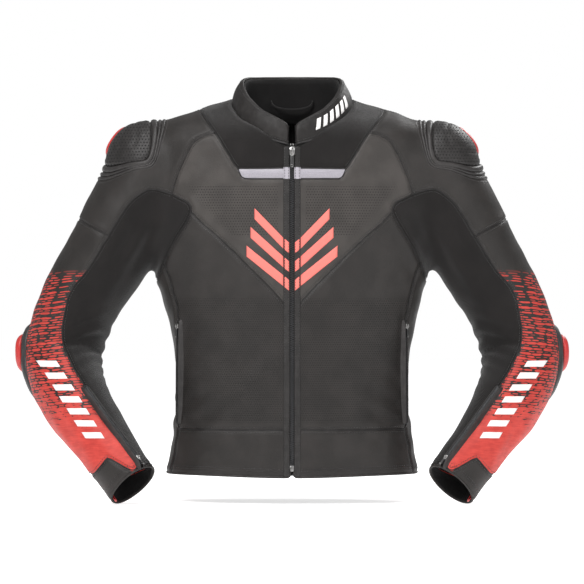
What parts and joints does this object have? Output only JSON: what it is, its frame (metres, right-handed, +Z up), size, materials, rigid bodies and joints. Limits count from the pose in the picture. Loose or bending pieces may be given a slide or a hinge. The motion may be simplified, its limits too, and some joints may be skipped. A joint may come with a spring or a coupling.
{
  "type": "leather riding jacket",
  "caption": "Armoured leather motorcycle riding jacket with stand-up collar, front zip, pre-curved sleeves, shoulder and elbow sliders, stretch panels and zipped pockets and cuffs.",
  "frame": {"origin": "on the plane of the lowest point of the cuffs, under the centre of the jacket's box", "axes": "+Z up, the jacket's front faces -Y, the wearer's right sleeve is at -X"},
  "size_m": [0.888, 0.273, 0.6824],
  "materials": {
    "leather_black": "matt grained cowhide",
    "leather_perforated": "matt perforated cowhide",
    "leather_red": "matt printed cowhide",
    "stretch_black": "woven stretch textile",
    "reflective": "light reflective film",
    "lining_black": "mesh lining",
    "foam": "soft protector foam",
    "zip_tape": "woven zip tape",
    "zip_metal": "nickel-plated zip metal",
    "armour_cup": "textured black cup",
    "slider_red": "satin red slider"
  },
  "bodies": {
    "torso": {"yoke_stretch_panels": "stretch_black", "front_chest_panels": "leather_perforated", "front_lower_panels": "leather_black", "front_waist_panels": "leather_black", "side_panels": "leather_black", "back_upper_panel": "leather_black", "back_lower_panel": "leather_black", "back_waist_panel": "leather_black", "reflective_stripes": "reflective", "collar_shell": "leather_black", "collar_lining": "lining_black", "torso_lining": "lining_black", "back_protector": "foam", "trouser_connection_zip": "zip_tape", "hanger_loop": "lining_black", "front_zip_tapes": "zip_tape", "front_zip_teeth": "zip_metal", "front_zip_stops": "zip_metal", "wind_flap": "lining_black", "pocket_zips": "zip_tape", "shoulder_bellows_right": "leather_black", "shoulder_bellows_left": "leather_black", "shoulder_panel_right": "leather_black", "shoulder_panel_left": "leather_black"},
    "front_zip_slider": {"front_zip_slider": "zip_metal"},
    "front_zip_pull": {"front_zip_pull": "zip_metal"},
    "upper_arm_right": {"upper_sleeve_stretch_right": "stretch_black", "upper_sleeve_leather_right": "leather_black", "shoulder_cup_right": "armour_cup", "shoulder_slider_right": "slider_red", "shoulder_protector_right": "foam"},
    "forearm_right": {"elbow_panel_right": "leather_red", "forearm_leather_right": "leather_red", "forearm_stretch_right": "stretch_black", "elbow_cup_right": "armour_cup", "elbow_slider_right": "slider_red", "elbow_protector_right": "foam", "cuff_band_right": "leather_black", "cuff_zip_right": "zip_tape"},
    "pocket_slider_right": {"pocket_slider_right": "zip_metal"},
    "pocket_pull_right": {"pocket_pull_right": "zip_metal"},
    "cuff_slider_right": {"cuff_slider_right": "zip_metal"},
    "cuff_pull_right": {"cuff_pull_right": "zip_metal"},
    "upper_arm_left": {"upper_sleeve_stretch_left": "stretch_black", "upper_sleeve_leather_left": "leather_black", "shoulder_cup_left": "armour_cup", "shoulder_slider_left": "slider_red", "shoulder_protector_left": "foam"},
    "forearm_left": {"elbow_panel_left": "leather_red", "forearm_leather_left": "leather_red", "forearm_stretch_left": "stretch_black", "elbow_cup_left": "armour_cup", "elbow_slider_left": "slider_red", "elbow_protector_left": "foam", "cuff_band_left": "leather_black", "cuff_zip_left": "zip_tape"},
    "pocket_slider_left": {"pocket_slider_left": "zip_metal"},
    "pocket_pull_left": {"pocket_pull_left": "zip_metal"},
    "cuff_slider_left": {"cuff_slider_left": "zip_metal"},
    "cuff_pull_left": {"cuff_pull_left": "zip_metal"}
  },
  "joints": [
    {"name": "shoulder_right", "type": "hinge", "parent": "torso", "child": "upper_arm_right", "pos_m": [-0.222, 0.0113, 0.5253], "axis": [0, 1, 0], "range_deg": [-4, 15], "deforming": ["shoulder_panel_right", "upper_sleeve_stretch_right"]},
    {"name": "elbow_right", "type": "hinge", "parent": "upper_arm_right", "child": "forearm_right", "pos_m": [-0.366, 0.0313, 0.2433], "axis": [-0.5622, -0.7993, 0.2121], "range_deg": [-25, 20], "deforming": ["elbow_panel_right", "forearm_stretch_right"]},
    {"name": "shoulder_left", "type": "hinge", "parent": "torso", "child": "upper_arm_left", "pos_m": [0.222, 0.0113, 0.5253], "axis": [0, -1, 0], "range_deg": [-4, 15], "deforming": ["shoulder_panel_left", "upper_sleeve_stretch_left"]},
    {"name": "elbow_left", "type": "hinge", "parent": "upper_arm_left", "child": "forearm_left", "pos_m": [0.366, 0.0313, 0.2433], "axis": [-0.5622, 0.7993, -0.2121], "range_deg": [-25, 20], "deforming": ["elbow_panel_left", "forearm_stretch_left"]},
    {"name": "front_zip", "type": "slide", "parent": "torso", "child": "front_zip_slider", "axis": [0, 0.0628, 0.998], "range_m": [-0.48, 0.002]},
    {"name": "front_zip_pull_swing", "type": "hinge", "parent": "front_zip_slider", "child": "front_zip_pull", "pos_m": [0, -0.08696, 0.55552], "axis": [-1, 0, 0], "range_deg": [0, 150]},
    {"name": "pocket_zip_right", "type": "slide", "parent": "torso", "child": "pocket_slider_right", "axis": [0.0042, -0.0119, 0.9999], "range_m": [-0.145, 0]},
    {"name": "pocket_pull_swing_right", "type": "hinge", "parent": "pocket_slider_right", "child": "pocket_pull_right", "pos_m": [-0.18383, -0.0462, 0.27921], "axis": [-0.6, 0.7999, 0.012], "range_deg": [0, 150]},
    {"name": "cuff_zip_right", "type": "slide", "parent": "forearm_right", "child": "cuff_slider_right", "axis": [-0.571, 0.363, 0.7364], "range_m": [0, 0.14]},
    {"name": "cuff_pull_swing_right", "type": "hinge", "parent": "cuff_slider_right", "child": "cuff_pull_right", "pos_m": [-0.23966, -0.13027, 0.07626], "axis": [-0.7741, -0.5368, -0.3356], "range_deg": [0, 150]},
    {"name": "pocket_zip_left", "type": "slide", "parent": "torso", "child": "pocket_slider_left", "axis": [-0.0042, -0.0119, 0.9999], "range_m": [-0.145, 0]},
    {"name": "pocket_pull_swing_left", "type": "hinge", "parent": "pocket_slider_left", "child": "pocket_pull_left", "pos_m": [0.18383, -0.0462, 0.27921], "axis": [-0.6, -0.7999, -0.012], "range_deg": [0, 150]},
    {"name": "cuff_zip_left", "type": "slide", "parent": "forearm_left", "child": "cuff_slider_left", "axis": [0.571, 0.363, 0.7364], "range_m": [0, 0.14]},
    {"name": "cuff_pull_swing_left", "type": "hinge", "parent": "cuff_slider_left", "child": "cuff_pull_left", "pos_m": [0.23966, -0.13027, 0.07626], "axis": [-0.7741, 0.5368, 0.3356], "range_deg": [0, 150]}
  ]
}
